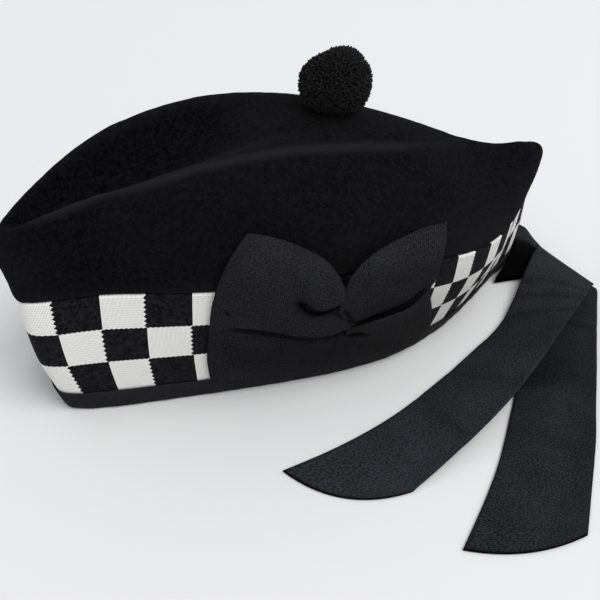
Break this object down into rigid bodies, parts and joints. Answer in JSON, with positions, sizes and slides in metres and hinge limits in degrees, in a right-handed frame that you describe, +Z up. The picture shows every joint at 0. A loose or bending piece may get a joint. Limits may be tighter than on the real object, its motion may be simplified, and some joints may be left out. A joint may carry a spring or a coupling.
{
  "type": "glengarry cap",
  "caption": "Boat-shaped felt cap with a creased crown, knitted chequered band, bound rim, side bow, wool pompom and ribbon tails, worn on the head.",
  "frame": {"origin": "on the table, under the middle of the whole part with its tails laid out", "axes": "+X from the front of the cap to its back, +Y to the wearer's right, away from the bow, +Z up from the table"},
  "size_m": [0.3022, 0.2292, 0.1548],
  "materials": {
    "felt": "milled wool felt, brushed",
    "knit": "knitted wool in black and white checks",
    "binding": "ribbed ribbon",
    "bow": "ribbed ribbon, pleated",
    "wool": "cut wool yarn",
    "tails": "ribbed ribbon, cut and sealed ends"
  },
  "bodies": {
    "root": {"crown": "felt", "diced_band": "knit", "edge_binding": "binding", "bow_ribbon": "bow", "toorie": "wool", "tail_upper": "tails", "tail_lower": "tails"}
  },
  "joints": []
}
